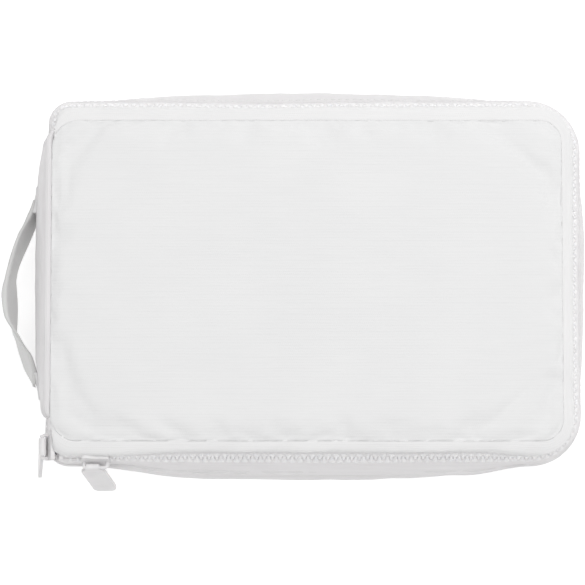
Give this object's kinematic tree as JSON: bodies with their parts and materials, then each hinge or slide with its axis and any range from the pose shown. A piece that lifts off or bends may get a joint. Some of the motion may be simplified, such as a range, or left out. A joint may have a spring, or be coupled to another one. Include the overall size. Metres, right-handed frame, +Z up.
{
  "type": "prayer book in a zipped cover",
  "caption": "Book closed inside a padded white cloth cover with a moulded zipper round three sides and a strap handle on its spine.",
  "frame": {"origin": "middle of the back panel's rest face, on the surface it lies on", "axes": "+X from the spine to the fore edge, +Y along the spine, +Z up through the front panel"},
  "size_m": [0.2636, 0.1803, 0.0457],
  "materials": {
    "cover_cloth": "white cotton canvas with a fine horizontal rib",
    "gusset_cloth": "white cotton canvas, gathered along the seams",
    "lining_cloth": "smooth white lining cloth",
    "padding": "soft wadding",
    "zipper_tape": "woven zipper tape",
    "zipper_plastic": "moulded white plastic",
    "book_cloth": "plain pale book cloth over board",
    "paper": "cream paper"
  },
  "bodies": {
    "case_back": {"back_panel_cover": "cover_cloth", "back_panel_foam": "padding", "back_panel_lining": "lining_cloth", "back_sleeve": "lining_cloth", "lower_gusset": "gusset_cloth", "lower_gusset_lining": "lining_cloth", "spine_panel": "cover_cloth", "spine_foam": "padding", "spine_lining": "lining_cloth", "zipper_tape_lower": "zipper_tape", "zipper_teeth_lower": "zipper_plastic", "zipper_stops_lower": "zipper_plastic", "handle_end_upper": "cover_cloth", "handle_end_lower": "cover_cloth", "book_back_board": "book_cloth", "book_spine_board": "book_cloth", "book_spine_cloth": "book_cloth", "book_page_block": "paper", "book_headband_top": "book_cloth", "book_headband_bottom": "book_cloth", "book_back_endpaper": "paper"},
    "case_cover": {"front_panel_cover": "cover_cloth", "front_panel_foam": "padding", "front_panel_lining": "lining_cloth", "front_sleeve": "lining_cloth", "upper_gusset": "gusset_cloth", "zipper_tape_upper": "zipper_tape", "zipper_teeth_upper": "zipper_plastic", "zipper_stops_upper": "zipper_plastic", "spine_flap": "cover_cloth", "book_front_board": "book_cloth", "book_front_endpaper": "paper"},
    "front_leaves": {"book_front_leaves": "paper"},
    "handle": {"handle_strap": "cover_cloth"},
    "slider_bottom": {"slider_bottom_body": "zipper_plastic", "slider_bottom_bail": "zipper_plastic"},
    "puller_bottom": {"puller_bottom": "zipper_plastic"},
    "slider_left": {"slider_left_body": "zipper_plastic", "slider_left_bail": "zipper_plastic"},
    "puller_left": {"puller_left": "zipper_plastic"}
  },
  "joints": [
    {"name": "cover_hinge", "type": "hinge", "parent": "case_back", "child": "case_cover", "pos_m": [-0.1175, 0, 0.03665], "axis": [0, -1, 0], "range_deg": [0, 179]},
    {"name": "front_leaves_turn", "type": "hinge", "parent": "case_back", "child": "front_leaves", "pos_m": [-0.1175, 0, 0.03665], "axis": [0, -1, 0], "range_deg": [0, 170.05]},
    {"name": "handle_swing", "type": "hinge", "parent": "case_back", "child": "handle", "pos_m": [-0.1246, 0, 0.014], "axis": [0, 1, 0], "range_deg": [0, 40]},
    {"name": "slider_bottom_slide", "type": "slide", "parent": "case_back", "child": "slider_bottom", "axis": [1, 0, 0], "range_m": [-0.005, 0.19], "deforming": ["zipper_teeth_lower", "zipper_teeth_upper"]},
    {"name": "puller_bottom_swing", "type": "hinge", "parent": "slider_bottom", "child": "puller_bottom", "pos_m": [-0.093, -0.08241, 0.03864], "axis": [-1, 0, 0], "range_deg": [-20, 175]},
    {"name": "slider_left_slide", "type": "slide", "parent": "case_back", "child": "slider_left", "axis": [0, 1, 0], "range_m": [0, 0.005]},
    {"name": "puller_left_swing", "type": "hinge", "parent": "slider_left", "child": "puller_left", "pos_m": [-0.11641, -0.0733, 0.03864], "axis": [0, 1, 0], "range_deg": [0, 165]}
  ],
  "couplings": [
    {"joint": "front_leaves_turn", "follows": "cover_hinge", "ratio": 0.95}
  ]
}
